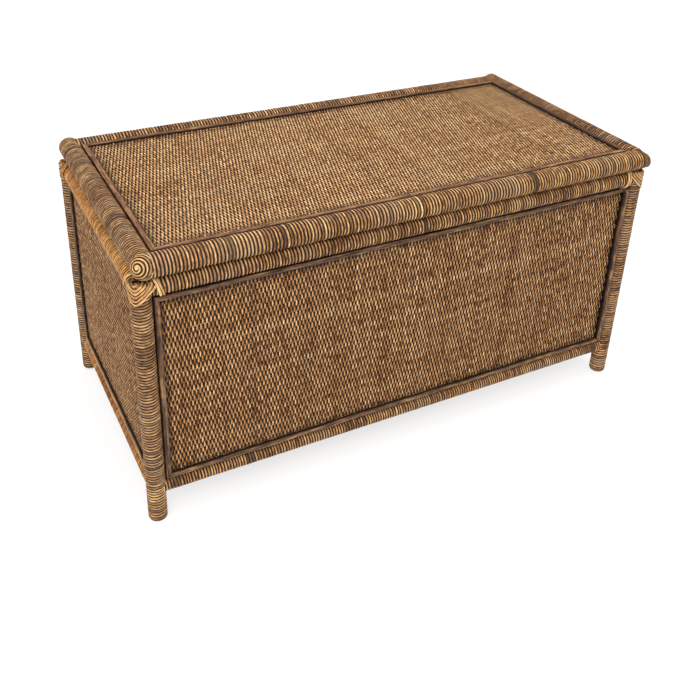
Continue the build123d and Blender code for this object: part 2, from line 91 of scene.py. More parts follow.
def distance_along(path):
    """The distance of each of a path's points from its start."""
    return np.concatenate([[0], np.cumsum(np.linalg.norm(np.diff(path, axis=0), axis=1))])


def eased(share):
    """A smooth step from 0 to 1."""
    share = np.clip(share, 0, 1)
    return share * share * (3 - 2 * share)


def put(name, data):
    """A new object in the scene."""
    made = bpy.data.objects.new(name, data)
    bpy.context.scene.collection.objects.link(made)
    return made


def binding_radius(group, node, axis):
    """Outside radius of the cane on a pole, from the group of bindings that it belongs to."""
    return abs(box(group)[1][axis] - middle(node)[axis])


POST_RADIUS = binding_radius("post_bindings", "post_back_right", 0)
TOP_RADIUS = binding_radius("top_rail_bindings", "top_rail_back", 2)
BOTTOM_RADIUS = binding_radius("bottom_rail_bindings", "bottom_rail_back", 2)
LID_RADIUS = binding_radius("lid_pole_bindings", "lid_pole_back", 2)
UPRIGHT_RADIUS = half_size("upright_left", 0)
BEARER_RADIUS = half_size("floor_bearers", 2)
BATTEN_RADIUS = half_size("lid_batten_left", 0)

# ---------- camera

# From the front left and above, with a shifted lens that keeps the object high in the frame.
CAMERA_PLACE = (-0.76101, -1.36362, 1.17336)
CAMERA_AZIMUTH = -0.4911
CAMERA_ELEVATION = 0.4705
CAMERA_ROLL = 0.033
CAMERA_LENS = 46.99
CAMERA_SHIFT = (0.0162, -0.2066)


def make_camera():
    data = bpy.data.cameras.new("camera")
    data.lens = CAMERA_LENS
    data.sensor_width = 36.0
    data.shift_x, data.shift_y = CAMERA_SHIFT
    camera = put("camera", data)
    turn, tip = CAMERA_AZIMUTH, CAMERA_ELEVATION
    forward = Vector((-math.sin(turn) * math.cos(tip), math.cos(turn) * math.cos(tip), -math.sin(tip)))
    level = forward.cross(Vector((0, 0, 1))).normalized()
    upward = level.cross(forward)
    right = math.cos(CAMERA_ROLL) * level + math.sin(CAMERA_ROLL) * upward
    up = -math.sin(CAMERA_ROLL) * level + math.cos(CAMERA_ROLL) * upward
    turned = Matrix((right, up, -forward)).transposed().to_4x4()
    camera.matrix_world = Matrix.Translation(CAMERA_PLACE) @ turned
    bpy.context.scene.camera = camera


make_camera()

# ---------- materials


class Nodes:
    """A material's node tree, with short calls for the nodes used here."""

    def __init__(self, name):
        self.material = bpy.data.materials.new(name)
        self.material.use_nodes = True
        self.tree = self.material.node_tree
        self.shader = self.tree.nodes["Principled BSDF"]

    def node(self, kind, inputs=(), **settings):
        made = self.tree.nodes.new(kind)
        for key, value in settings.items():
            setattr(made, key, value)
        for key, value in dict(inputs).items():
            self.feed(made.inputs[key], value)
        return made

    def feed(self, socket, value):
        """Gives a socket a number, a colour as on screen, or a link from another socket."""
        if isinstance(value, bpy.types.NodeSocket):
            self.tree.links.new(value, socket)
        elif value is not None:
            socket.default_value = rgb(*value) if isinstance(value, tuple) else value

    def math(self, operation, a, b=None):
        made = self.node("ShaderNodeMath", operation=operation)
        self.feed(made.inputs[0], a)
        self.feed(made.inputs[1], b)
        return made.outputs[0]

    def sum(self, *values):
        total = values[0]
        for value in values[1:]:
            total = self.math("ADD", total, value)
        return total

    def swing(self, value, amount):
        """value's distance from 0.5, times amount."""
        return self.math("MULTIPLY", self.math("SUBTRACT", value, 0.5), amount)

    def between(self, value, low, high, to_low=0.0, to_high=1.0):
        """value, taken from low..high to to_low..to_high along a smooth step."""
        inputs = {"Value": value, "From Min": low, "From Max": high, "To Min": to_low, "To Max": to_high}
        return self.node("ShaderNodeMapRange", inputs, interpolation_type="SMOOTHSTEP").outputs[0]

    def mix(self, factor, a, b):
        made = self.node("ShaderNodeMix", data_type="RGBA")
        self.feed(made.inputs[0], factor)
        self.feed(made.inputs[6], a)
        self.feed(made.inputs[7], b)
        return made.outputs[2]

    def ramp(self, factor, stops):
        made = self.node("ShaderNodeValToRGB", {"Fac": factor})
        elements = made.color_ramp.elements
        while len(elements) < len(stops):
            elements.new(0.5)
        for element, (place, colour) in zip(elements, stops):
            element.position = place
            element.color = rgb(*colour)
        return made.outputs[0]

    def noise(self, vector, scale, detail=2.0, roughness=0.5):
        inputs = {"Vector": vector, "Scale": scale, "Detail": detail, "Roughness": roughness}
        return self.node("ShaderNodeTexNoise", inputs).outputs["Fac"]

    def scaled(self, vector, x, y, z):
        made = self.node("ShaderNodeVectorMath", operation="MULTIPLY")
        self.feed(made.inputs[0], vector)
        made.inputs[1].default_value = (x, y, z)
        return made.outputs[0]

    def place(self):
        """The point on the object at rest, in metres."""
        return self.node("ShaderNodeTexCoord").outputs["Object"]

    def read_strand(self):
        """The vector "strand" that a strand's points carry, and the chance. What stained needs is kept."""
        tint, strand = (self.node("ShaderNodeAttribute", attribute_name=name) for name in ("tint", "strand"))
        tint = self.node("ShaderNodeSeparateColor", {"Color": tint.outputs["Color"]})
        chance, self.darkness, self.depth = tint.outputs[:3]
        strand = strand.outputs["Vector"]
        self.across = self.node("ShaderNodeSeparateXYZ", {"Vector": strand}).outputs[1]
        return strand, chance

    def shade_and_stain(self, colour, shade_and_stain_colour, edge):
        """colour, going over to shade_and_stain_colour: painted shade, with some staining, at the strand's
        edges and low places, and the darker colour of its dark turns.
        """
        # Painted shade: darker towards the strand's edges, where neighbouring strands meet, and in its low
        # places (depth), with some staining.
        rim = self.between(self.math("ABSOLUTE", self.across), *edge, 0.0, 0.95)
        share = self.math("MAXIMUM", self.math("MAXIMUM", rim, self.depth), self.darkness)
        return self.mix(share, colour, shade_and_stain_colour)

    def bump(self, height, distance, strength):
        inputs = {"Height": height, "Distance": distance, "Strength": strength}
        return self.node("ShaderNodeBump", inputs).outputs[0]

    def finish(self, colour, roughness, normal=None, specular=0.5):
        self.feed(self.shader.inputs["Base Color"], colour)
        self.feed(self.shader.inputs["Roughness"], roughness)
        self.feed(self.shader.inputs["Normal"], normal)
        self.shader.inputs["Specular IOR Level"].default_value = specular
        return self.material


def rgb(red, green, blue):
    """A colour given as it shows on screen, from 0 to 255."""
    shares = (red / 255, green / 255, blue / 255)
    return (*[c / 12.92 if c <= 0.04 else ((c + 0.055) / 1.055) ** 2.4 for c in shares], 1.0)


def strand_material(name, tones, groove_shade_and_specks, grey, wear, edge, chance_share, patchy=0.7):
    """Stained cane, with painted shade in its grooves. It reads, from each strand's own points: chance,
    darkness and depth in "tint", and the distance along, the place across and a number of its own in
    "strand". tones are four colours from dark to light; groove_shade_and_specks is the colour of that painted
    shade and of the dark specks, and edge says where the painted shade starts and ends across the strand."""
    m = Nodes(name)
    strand, chance = m.read_strand()
    fibres = m.noise(m.scaled(strand, 90.0, 3.0, 41.0), 1.0, 3.0, 0.6)
    patches = m.noise(m.place(), 13.0, 3.0, 0.55)
    specks = m.noise(m.place(), 170.0, 2.0, 0.6)
    level = m.sum(m.swing(chance, chance_share), m.between(fibres, 0.25, 0.75), m.swing(patches, patchy))
    colour = m.ramp(level, list(zip((0.0, 0.35, 0.68, 1.0), tones)))
    worn = m.math("MULTIPLY", m.between(patches, 0.46, 0.64), m.between(fibres, 0.3, 0.62))
    colour = m.mix(m.math("MULTIPLY", worn, wear), colour, grey)
    colour = m.mix(m.between(specks, 0.6, 0.74, 0.0, 0.5), colour, groove_shade_and_specks)
    rough = m.between(fibres, 0.2, 0.8, 0.5, 0.72)
    return m.finish(m.shade_and_stain(colour, groove_shade_and_specks, edge), rough, m.bump(fibres, 0.00025, 0.55), specular=0.25)


def wood_material(name, dark, mid, light, grain=(2.0, 60.0, 60.0)):
    """Stained wood with grain along one direction of the object."""
    m = Nodes(name)
    place = m.place()
    fine = m.noise(m.scaled(place, *grain), 1.0, 4.0, 0.6)
    broad = m.noise(place, 5.0, 3.0, 0.6)
    level = m.sum(m.math("MULTIPLY", fine, 0.6), m.math("MULTIPLY", broad, 0.45))
    colour = m.ramp(level, [(0.36, dark), (0.52, mid), (0.72, light)])
    colour = m.mix(m.between(m.noise(place, 34.0), 0.58, 0.74, 0.0, 0.25), colour, light)
    return m.finish(colour, m.between(fine, 0.3, 0.7, 0.4, 0.62), m.bump(fine, 0.0004, 0.4))


def bare_cane_material(name, dark, mid, light, knot, streaks):
    """Bare or split rattan: fine fibres along the strand and darker knots, read from the points. The knots'
    colour is also painted shade at the edges of a split strip.
    """
    m = Nodes(name)
    strand, chance = m.read_strand()
    fibres = m.noise(m.scaled(strand, 14.0, 7.0, 23.0), 1.0, 4.0, 0.65)
    smears = m.noise(m.scaled(strand, 16.0, 1.6, 11.0), 1.0, 2.0, 0.5)
    rubs = m.noise(m.scaled(strand, 55.0, 1.1, 7.0), 1.0, 3.0, 0.6)
    parts = [m.swing(part, amount * streaks) for part, amount in ((fibres, 1.5), (smears, 1.3), (rubs, 1.1))]
    colour = m.ramp(m.sum(*parts, chance), [(0.15, dark), (0.5, mid), (0.85, light)])
    rough = m.between(fibres, 0.25, 0.75, 0.45, 0.65)
    # The knots' colour also paints shade at a split strip's edges, from 0.56 of the way across.
    return m.finish(m.shade_and_stain(colour, knot, (0.56, 0.93)), rough, m.bump(fibres, 0.0004, 0.6), specular=0.2)


def metal_material(name, colour, worn, rough, metallic):
    m = Nodes(name)
    rubbed = m.noise(m.place(), 220.0, 3.0, 0.6)
    mixed = m.mix(m.between(rubbed, 0.6, 0.75, 0.0, 0.6), colour, worn)
    m.shader.inputs["Metallic"].default_value = metallic
    return m.finish(mixed, m.between(rubbed, 0.3, 0.7, rough, rough + 0.15), m.bump(rubbed, 0.0001, 0.3))


# Colours as they show on screen, from 0 to 255.
# The colour of the painted shade between strands, and of the dark specks.
GROOVE_SHADE_AND_SPECKS = (18, 9, 5)
CANE_TONES = ((88, 52, 30), (166, 113, 64), (230, 174, 106), (255, 222, 160))
SIDE_TONES = ((84, 48, 26), (160, 104, 58), (222, 164, 102), (250, 214, 160))
LID_TONES = ((106, 66, 38), (180, 125, 74), (236, 180, 118), (255, 222, 170))
WORN_TONES = ((80, 50, 30), (146, 104, 66), (198, 150, 98), (244, 204, 146))
GOLD_TONES = ((98, 58, 26), (170, 106, 46), (216, 148, 70), (250, 204, 130))
PLY_TONES = ((34, 20, 13), (54, 34, 22), (86, 58, 38))
MAT = {
    "winding": strand_material("wound_cane", CANE_TONES, GROOVE_SHADE_AND_SPECKS, (146, 118, 102), 0.55, (0.2, 0.66), 0.8),
    "winding_worn": strand_material(
        "wound_cane_worn", WORN_TONES, GROOVE_SHADE_AND_SPECKS, (138, 112, 94), 0.6, (0.36, 0.82), 0.8, 0.9),
    "winding_gold": strand_material(
        "wound_cane_gold", GOLD_TONES, GROOVE_SHADE_AND_SPECKS, (150, 112, 76), 0.4, (0.42, 0.88), 0.8, 0.9),
    "lashing": strand_material("lashed_cane", CANE_TONES, GROOVE_SHADE_AND_SPECKS, (140, 114, 100), 0.6, (0.5, 0.95), 0.8),
    "weave_side": strand_material(
        "woven_cane_sides", SIDE_TONES, GROOVE_SHADE_AND_SPECKS, (168, 118, 86), 0.35, (0.45, 0.9), 0.8, 0.4),
    # The lid weave's darkest colour, (22, 12, 7), is its painted shade between strands and the colour of its
    # specks.
    "weave_lid": strand_material(
        "woven_cane_lid", LID_TONES, (22, 12, 7), (178, 142, 110), 0.3, (0.42, 0.9), 0.7, 0.4),
    "bead": bare_cane_material(
        "split_cane_bead", (44, 30, 22), (106, 77, 56), (186, 142, 98), (22, 14, 10), 0.8),
    "bead_lid": bare_cane_material(
        "split_cane_bead_lid", (46, 28, 18), (108, 72, 46), (184, 134, 88), (20, 11, 7), 0.7),
    "bare": bare_cane_material(
        "bare_rattan", (70, 42, 24), (112, 70, 38), (150, 102, 60), (34, 20, 12), 0.5),
    "core": wood_material("pole_core", (28, 17, 11), (42, 26, 17), (64, 42, 27)),
    "ply": wood_material("stained_plywood", *PLY_TONES, (60.0, 60.0, 2.4)),
    "ply_lid": wood_material("stained_plywood_lid", *PLY_TONES, (60.0, 2.4, 60.0)),
    "hinge": metal_material("black_paint", (22, 21, 21), (70, 66, 62), 0.4, 0.0),
    "screw": metal_material("black_screw", (30, 29, 28), (120, 116, 110), 0.35, 0.6),
    "eye": metal_material("zinc_eye", (150, 148, 142), (110, 106, 100), 0.32, 0.9),
}

# ---------- meshes made of strands


class Strand:
    """A grid of points, rows along the strand and columns round its section. across has a number for each
    column. The others are one number, or one for each row."""

    def __init__(self, points, along, across, number=0.0, chance=0.5, darkness=0.0, depth=0.0):
        self.points = points
        self.strand = np.empty((*points.shape[:2], 3))
        self.tint = np.ones((*points.shape[:2], 4))
        self.strand[..., 1] = across
        for values, channel, value in (
                (self.strand, 0, along), (self.strand, 2, number),
                (self.tint, 0, chance), (self.tint, 1, darkness), (self.tint, 2, depth)):
            values[..., channel] = np.reshape(value, (-1, 1))

    def faces(self):
        """Quads round the section, and a cap at each end."""
        rows, columns = self.points.shape[:2]
        corner = np.arange(rows * columns).reshape(rows, columns)
        following = np.roll(corner, -1, axis=1)
        quads = np.stack([corner[:-1], following[:-1], following[1:], corner[1:]], axis=-1)
        return quads.reshape(-1, 4), corner[0][::-1], corner[-1]


def build(name, body, slot, look, strands, *replaces):
    """One piece from many strands."""
    points = np.concatenate([s.points.reshape(-1, 3) for s in strands])
    loops, sizes, base = [], [], 0
    for s in strands:
        quads, first_cap, last_cap = s.faces()
        loops += [quads.ravel() + base, first_cap + base, last_cap + base]
        sizes += [np.full(len(quads), 4), [len(first_cap)] * 2]
        base += s.points[..., 0].size
    loops, sizes = np.concatenate(loops), np.concatenate(sizes)
    mesh = bpy.data.meshes.new(name)
    mesh.vertices.add(len(points))
    mesh.vertices.foreach_set("co", points.astype(np.float32).ravel())
    mesh.loops.add(len(loops))
    mesh.loops.foreach_set("vertex_index", loops.astype(np.int32))
    mesh.polygons.add(len(sizes))
    mesh.polygons.foreach_set("loop_start", (np.cumsum(sizes) - sizes).astype(np.int32))
    mesh.update(calc_edges=True)
    mesh.shade_smooth()
    for key, kind, channel in (("strand", "FLOAT_VECTOR", "vector"), ("tint", "FLOAT_COLOR", "color")):
        values = np.concatenate([getattr(s, key).ravel() for s in strands])
        mesh.attributes.new(key, kind, "POINT").data.foreach_set(channel, values.astype(np.float32))
    mesh.materials.append(MAT[look])
    made = put(name, mesh)
    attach(made, body)
    if replaces:
        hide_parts(*replaces)
    return made


def ripple(places, seed, length, amount):
    """Smooth random wander along places, of about that wavelength and amount."""
    chance = np.random.default_rng(seed)
    total = np.zeros_like(places)
    for share in (1.0, 0.47, 0.23):
        total += share * np.sin(2 * math.pi * places / (length * share) + chance.uniform(0, 2 * math.pi))
    return amount * total / 1.7


# Section of a strip of cane: places across, from -1 to 1, and heights, from 0 to 1.
STRIP_ACROSS = np.array([-1.0, -0.84, -0.46, 0.0, 0.46, 0.84, 1.0])
STRIP_HEIGHT = np.array([0.0, 0.5, 0.88, 1.0, 0.88, 0.5, 0.0])


def strip_section(width, thickness, sides, normals, centres):
    """Points of a strip, whose top is thickness above centres. width may be one number for each centre."""
    across = STRIP_ACROSS[None, :, None] * np.reshape(width / 2, (-1, 1, 1)) * sides[:, None, :]
    height = STRIP_HEIGHT[None, :, None] * thickness * normals[:, None, :]
    return centres[:, None, :] + across + height


# ---------- cane wound round poles

TURN_STEPS = 28
CANE_THICKNESS = 1.55 * MM
CANE_FILLS = 0.97  # the strip's width, as a share of the pitch
UNEVEN_PITCH = 0.07
UNEVEN_SINK = 0.22 * MM
UNEVEN_TONE = 0.13
DULL_TURNS = 0.06  # this share of the turns is darker, by DULLNESS
DULLNESS = 0.5
SEAM = 0.06  # the last part of a turn, over which its colour runs into the next one's
TURN_NUMBER = 0.37  # each turn's number grows by this, so that its fibres differ from its neighbours'


def dome(radius, depth, hole):
    """Outline of a pole's rounded end, from the hole at its tip: distances back from the tip, and radii."""
    power = 2 / 2.6
    first = math.asin((hole / radius) ** (1 / power))
    angles = np.linspace(first, math.pi / 2, 24)
    back = 1 - np.cos(angles) ** power
    back = (back - back[0]) / (back[-1] - back[0])
    return depth * back, radius * np.sin(angles) ** power


def wind(origin, axis, seam, outline, pitch, seed, rings=(), number=0.0, thickness=CANE_THICKNESS, tone=0.5):
    """Cane wound round a pole, as one long strip. outline gives places along and outside radii; pitch is
    one number, or one for each place. seam points to the side where the strip's colour changes. rings are
    groups of darker turns, or of lighter ones where the darkness is below zero, as the place along and the
    reach in millimetres, and the darkness. tone is how light the cane is, from 0 to 1."""
    chance = np.random.default_rng(seed)
    places, radii = (np.asarray(part, float) for part in outline)
    run = np.concatenate([[0], np.cumsum(np.hypot(np.diff(places), np.diff(radii)))])
    pitches = np.broadcast_to(pitch, places.shape)
    knots = [0.0]
    while knots[-1] < run[-1]:
        local = np.interp(knots[-1], run, pitches)
        knots.append(knots[-1] + local * (1 + UNEVEN_PITCH * chance.standard_normal()))
    knots = np.array(knots[:-1])
    turns = len(knots) - 1
    steps = turns * TURN_STEPS + 1
    turn = np.arange(steps) / TURN_STEPS
    at = np.interp(turn, np.arange(turns + 1), knots)
    along = np.interp(at, run, places)
    radius = np.interp(at, run, radii)
    reach = 0.4 * MM
    d_along, d_radius = (
        np.interp(at + reach, run, part) - np.interp(at - reach, run, part) for part in (places, radii))
    length = np.hypot(d_along, d_radius)
    d_along, d_radius = d_along / length, d_radius / length
    gaps = np.append(np.diff(knots), knots[-1] - knots[-2])
    width = np.interp(turn, np.arange(turns + 1) + 0.5, gaps) * CANE_FILLS
    sink = np.abs(chance.standard_normal(turns + 1)) * UNEVEN_SINK
    radius = radius - np.interp(turn, np.arange(turns + 1), sink)
    angle = 2 * math.pi * turn
    other = np.cross(axis, seam)
    radial = np.cos(angle)[:, None] * seam + np.sin(angle)[:, None] * other
    centres = origin + along[:, None] * axis + radius[:, None] * radial
    sides = d_along[:, None] * axis + d_radius[:, None] * radial
    normals = -d_radius[:, None] * axis + d_along[:, None] * radial
    points = strip_section(width, thickness, sides, normals, centres - thickness * normals)
    # Each turn has its own colour. It runs into the next one's at the seam.
    tones = tone + UNEVEN_TONE * chance.standard_normal(turns + 2)
    tones[: turns + 1] += ripple(knots, seed + 1, 0.16, 0.09)
    tones = np.clip(tones, 0, 1)
    dull = np.zeros(turns + 2)
    dull[chance.random(turns + 2) < DULL_TURNS] = DULLNESS
    for place, spread, amount in rings:
        near = np.flatnonzero(np.abs(np.interp(knots, run, places) - place * MM) < spread * MM)
        change = amount * chance.uniform(0.8, 1.0, len(near))
        dull[near] = np.maximum(dull[near], change) if amount > 0 else 0
        tones[near] -= np.minimum(change, 0)
    index = turn.astype(int)
    blend = np.clip((turn - index - (1 - SEAM)) / SEAM, 0, 1)
    tones, dull = (part[index] * (1 - blend) + part[index + 1] * blend for part in (tones, dull))
    return Strand(points, 2 * math.pi * np.cumsum(radius) / TURN_STEPS, STRIP_ACROSS,
                  number + index * TURN_NUMBER, tones, dull)


def pole_outline(start, end, radius, rounded=(0, 0)):
    """Outline of a pole from start to end, and rounded holds the depth of its rounding at each."""
    first, last = (dome(radius, depth, END_HOLE) if depth else ([0.0], [radius]) for depth in rounded)
    places = np.concatenate([start + np.array(first[0]), (end - np.array(last[0]))[::-1]])
    return places, np.concatenate([first[1], last[1][::-1]])


def end_pitches(outline, radius, full, small):
    """The winding's pitch at each place of an outline: small on the rounded ends."""
    share = np.clip((outline[1] / radius - 0.55) / 0.43, 0, 1)
    return small + (full - small) * share


def knob(tip, axis, radius, height, chance):
    """The small plug of pith in the middle of a wound end. axis points out of the pole."""
    side = np.cross(axis, Z if abs(axis[2]) < 0.9 else X)
    other = np.cross(axis, side)
    turn = np.linspace(0, 2 * math.pi, 16, endpoint=False)
    ring = np.cos(turn)[:, None] * side + np.sin(turn)[:, None] * other
    lift = np.linspace(0, math.pi / 2 - 0.15, 6)
    rows = [tip + radius * math.cos(a) * ring + (height * math.sin(a) - 2 * MM * (a == 0)) * axis
            for a in lift]
    return Strand(np.array(rows)[:, ::-1], np.zeros(6), 0.0, 5.0, chance)


def clamp_under_leaves(strand, way):
    """Flattens a winding where the hinges' leaves are let into it, below (-1) or above (1) their axis."""
    height = HINGE_Z + way * (LEAF_OFFSET + LEAF + 0.03 * MM)
    keep = np.minimum if way < 0 else np.maximum
    for side in ("left", "right"):
        low, high = box(f"hinge_{side}_box_leaf")
        x, z = strand.points[..., 0], strand.points[..., 2]
        under = (x > low[0] - 0.4 * MM) & (x < high[0] + 0.4 * MM)
        strand.points[..., 2] = np.where(under, keep(z, height), z)


POST_PITCH = 5.4 * MM
POST_END_PITCH = 3.6 * MM
RAIL_PITCH = 5.66 * MM
BOTTOM_PITCH = 5.1 * MM
LID_PITCH = 5.9 * MM
END_PITCH = 3.8 * MM
END_HOLE = 2.6 * MM  # the radius that is left open in the middle of a lid pole's wound end
SMALL_HOLE = 2.2 * MM  # and of a post's or the front pole's tip
CORNERS = (("front_left", -1, -1), ("front_right", 1, -1), ("back_left", -1, 1), ("back_right", 1, 1))
HINGE_Z = middle("hinge_left_pin")[2]
LEAF_OFFSET = 0.6 * MM  # from the hinges' axis to a leaf, and a leaf's thickness
LEAF = 1.5 * MM
FOOT_ROUND = 6.0 * MM  # the rounding of the post's own foot, under the cane
POST_TOP = 465.3 * MM  # the top of a post's wound end, just under the closed lid
POST_DOME = 8.0 * MM
SPIRAL_LEAN = 0.62  # how far a post's wound end leans out, as a share of how far it has closed
SPIRAL_SINK = 2.5 * MM  # and how far its middle sinks
LID_DOME = 10.5 * MM
LID_DOME_OUT = 2.6 * MM  # a wound end stands this far out from the pole's own end
TIP_LENGTH = 20.0 * MM  # the front pole narrows over this length, at its right end
TIP_DROP = 6.15 * MM  # and its middle drops by this much, so that its underside stays level
TIP_DOME = 8.0 * MM

# Darker and lighter groups of turns: place along and reach in millimetres, and darkness.
FOOT_RINGS = ((2, 5, 0.5),)
LID_RINGS = {
    "front": ((-253, 11, 0.65), (-252, 4, -0.45), (-14, 9, 0.65), (-13, 4, -0.4), (223, 8, 0.85),
              (480, 3, 0.85), (491, 2.5, 0.8), (500, 2, 0.75)),
    "left": ((-96, 11, 0.6), (24, 5, 0.4), (122, 9, 0.6)),
}
BOTTOM_RINGS = {"front": ((-452, 11, 0.6), (-316, 8, 0.85), (-300, 5, 0.5), (436, 14, 0.6))}
POST_TONE = 0.48
LID_TONE = {"front": 0.46, "back": 0.32, "left": 0.4, "right": 0.26}
TOP_TONE = {"front": 0.38, "back": 0.4, "left": 0.6, "right": 0.4}
BOTTOM_TONE = 0.42
# The lid's front left corner is wound over with a ball of cane, whose spiral faces outwards and up.
CORNER_BALL = 20.5 * MM
CORNER_WAY = unit(np.array([-0.68, -0.62, 0.38]))
CORNER_PITCH = 5.2 * MM
# Each side's way in, towards the middle of the box.
INWARDS = {"front": Y, "back": -Y, "left": X, "right": -X}


def pole_line(node, side):
    """A rail's or lid pole's direction, the point of its axis nearest the middle, and its two ends."""
    low, high = box(node)
    centre = (low + high) / 2
    axis = X if side in ("front", "back") else Y
    return axis, centre - (centre @ axis) * axis, low @ axis, high @ axis


def post_windings():
    """The posts, wound from the foot up and over their tops, where the cane ends in a spiral."""
    core = half_size("post_back_left", 0)
    cover = POST_RADIUS - core
    first = math.asin((FOOT_ROUND - 0.3 * MM) / (FOOT_ROUND + cover))
    angles = np.linspace(first, 0, 8)
    foot_places = FOOT_ROUND - (FOOT_ROUND + cover) * np.sin(angles)
    foot_radii = core - FOOT_ROUND + (FOOT_ROUND + cover) * np.cos(angles)
    back, out = dome(POST_RADIUS, POST_DOME, SMALL_HOLE)
    places = np.concatenate([foot_places, (POST_TOP - back)[::-1]])
    radii = np.concatenate([foot_radii, out[::-1]])
    pitches = end_pitches((places, radii), POST_RADIUS, POST_PITCH, POST_END_PITCH)
    for index, (name, x_sign, y_sign) in enumerate(CORNERS):
        centre = middle(f"post_{name}") * (1, 1, 0)
        outwards = 0.9 * x_sign * X + 0.44 * y_sign * Y
        strand = wind(centre, Z, -outwards, (places, radii), pitches, 100 + index, FOOT_RINGS, index * 3.1,
                      tone=POST_TONE)
        away = np.hypot(*np.moveaxis(strand.points[:, 3, :2] - centre[:2], 1, 0))
        closed = np.where(strand.points[:, 3, 2] > POST_TOP - POST_DOME, POST_RADIUS - away, 0)
        lean = (SPIRAL_LEAN * closed)[:, None, None] * outwards
        strand.points[...] += lean
        strand.points[..., 2] -= SPIRAL_SINK * (closed / POST_RADIUS)[:, None]
        strand.points[..., 2] = np.maximum(strand.points[..., 2], 0.1 * MM)
        tip = centre + (POST_TOP - 0.9 * MM - SPIRAL_SINK) * Z + lean[-1, 0]
        plug = knob(tip, Z, 2.6 * MM, 0.9 * MM, 0.5)
        build(f"post_winding_{name}", "box", "cane_binding", "winding_worn", [strand, plug], "post_bindings")


def rail_windings():
    """The top and bottom rails of the box. Their ends run into the posts."""
    inner = np.abs(middle("post_front_left")[:2]) - 0.5 * POST_RADIUS
    for family, radius, pitch in (("top", TOP_RADIUS, RAIL_PITCH), ("bottom", BOTTOM_RADIUS, BOTTOM_PITCH)):
        for index, (side, inward) in enumerate(INWARDS.items()):
            axis, origin, _, _ = pole_line(f"{family}_rail_{side}", side)
            reach = inner @ axis[:2]
            seed = 200 + index + (20 if family == "bottom" else 0)
            rings = BOTTOM_RINGS.get(side, ()) if family == "bottom" else ()
            tone = TOP_TONE[side] if family == "top" else BOTTOM_TONE
            strand = wind(origin, axis, inward, ([-reach, reach], [radius, radius]), pitch, seed, rings,
                          seed * 0.7, tone=tone)
            if (family, side) == ("top", "back"):
                clamp_under_leaves(strand, -1)
            look = "winding_gold" if side == "left" else "winding"
            build(f"{family}_rail_winding_{side}", "box", "cane_binding", look, [strand],
                  f"{family}_rail_bindings")


def front_pole_outline(start, end):
    """The lid's front pole, from inside its corner ball to the small tip that its right end narrows to."""
    back, out = dome(LID_RADIUS - TIP_DROP + 1.4 * MM, TIP_DOME, SMALL_HOLE)
    tip = end + 2.2 * MM
    places = np.concatenate([[start, end - TIP_LENGTH - 1 * MM], (tip - back)[::-1]])
    radii = np.concatenate([[LID_RADIUS] * 2, out[::-1]])
    return (places, radii), tip


def corner_ball():
    """The spiral over the meeting of the lid's front and left poles, with its knob."""
    centre = middle("lid_pole_front") * (0, 1, 1) + middle("lid_pole_left") * (1, 0, 0)
    angles = np.linspace(math.asin(END_HOLE / CORNER_BALL), math.radians(112), 40)
    outline = (-CORNER_BALL * np.cos(angles), CORNER_BALL * np.sin(angles))
    level = unit(np.cross(CORNER_WAY, Z))
    strand = wind(centre, -CORNER_WAY, level, outline, CORNER_PITCH, 330, number=47.0, tone=0.6)
    tip = centre + (CORNER_BALL - 0.5 * MM) * CORNER_WAY
    return [strand, knob(tip, CORNER_WAY, 3.1 * MM, 2.2 * MM, 0.85)]


def lid_windings():
    """The lid's poles. The front pole's ends and the end poles' back ends are wound over, to a knob."""
    front_y = middle("lid_pole_front")[1]
    for index, (side, inward) in enumerate(INWARDS.items()):
        axis, origin, start, end = pole_line(f"lid_pole_{side}", side)
        plugs = []
        if side == "front":
            outline, tip = front_pole_outline(middle("lid_pole_left")[0] + 2 * MM, end)
            plugs = [knob(origin + (tip - 0.6 * MM) * axis, axis, 2.8 * MM, 1.2 * MM, 0.2)]
        elif side == "back":
            outline = pole_outline(start - 4 * MM, end + 4 * MM, LID_RADIUS)
        else:
            tip = end + LID_DOME_OUT
            over, depth = (2 * MM, 0) if side == "left" else (-2 * MM, 16 * MM)
            outline = pole_outline(front_y + over, tip, LID_RADIUS, (depth, LID_DOME))
            plugs = [knob(origin + tip * axis - 0.6 * MM * axis, axis, 3.4 * MM, 1.6 * MM, 0.6)]
        pitches = end_pitches(outline, LID_RADIUS, LID_PITCH, END_PITCH)
        strand = wind(origin, axis, inward * 0.8 - 0.6 * Z, outline, pitches, 300 + index,
                      LID_RINGS.get(side, ()), 40 + index * 5.3, tone=LID_TONE[side])
        strands = [strand] + plugs
        if side == "back":
            clamp_under_leaves(strand, 1)
        if side == "front":
            for part in strands:
                share = np.clip((part.points[..., 0] - (end - TIP_LENGTH)) / TIP_LENGTH, 0, 1.1)
                part.points[..., 2] -= TIP_DROP * share
            strands += corner_ball()
        look = "winding_worn" if side == "left" else "winding"
        build(f"lid_pole_winding_{side}", "lid", "cane_binding", look, strands, "lid_pole_bindings")


post_windings()
rail_windings()
lid_windings()

# ---------- tubes, bands and bare poles

POLE_KNOTS = 0.17  # from one knot to the next


def tube(path, radius, up, columns=8, number=0.0, chance=0.5, darkness=0.0, depth=0.0):
    """A round bar along a path. radius and darkness may be one number for each point."""
    ahead = unit(np.gradient(path, axis=0))
    side = unit(np.cross(ahead, np.broadcast_to(up, ahead.shape)))
    over = np.cross(side, ahead)
    turn = np.linspace(0, 2 * math.pi, columns, endpoint=False)
    ring = np.cos(turn)[None, :, None] * side[:, None] + np.sin(turn)[None, :, None] * over[:, None]
    points = path[:, None] + np.reshape(radius, (-1, 1, 1)) * ring
    return Strand(points, distance_along(path), 0.6 * np.cos(turn), number, chance, darkness, depth)


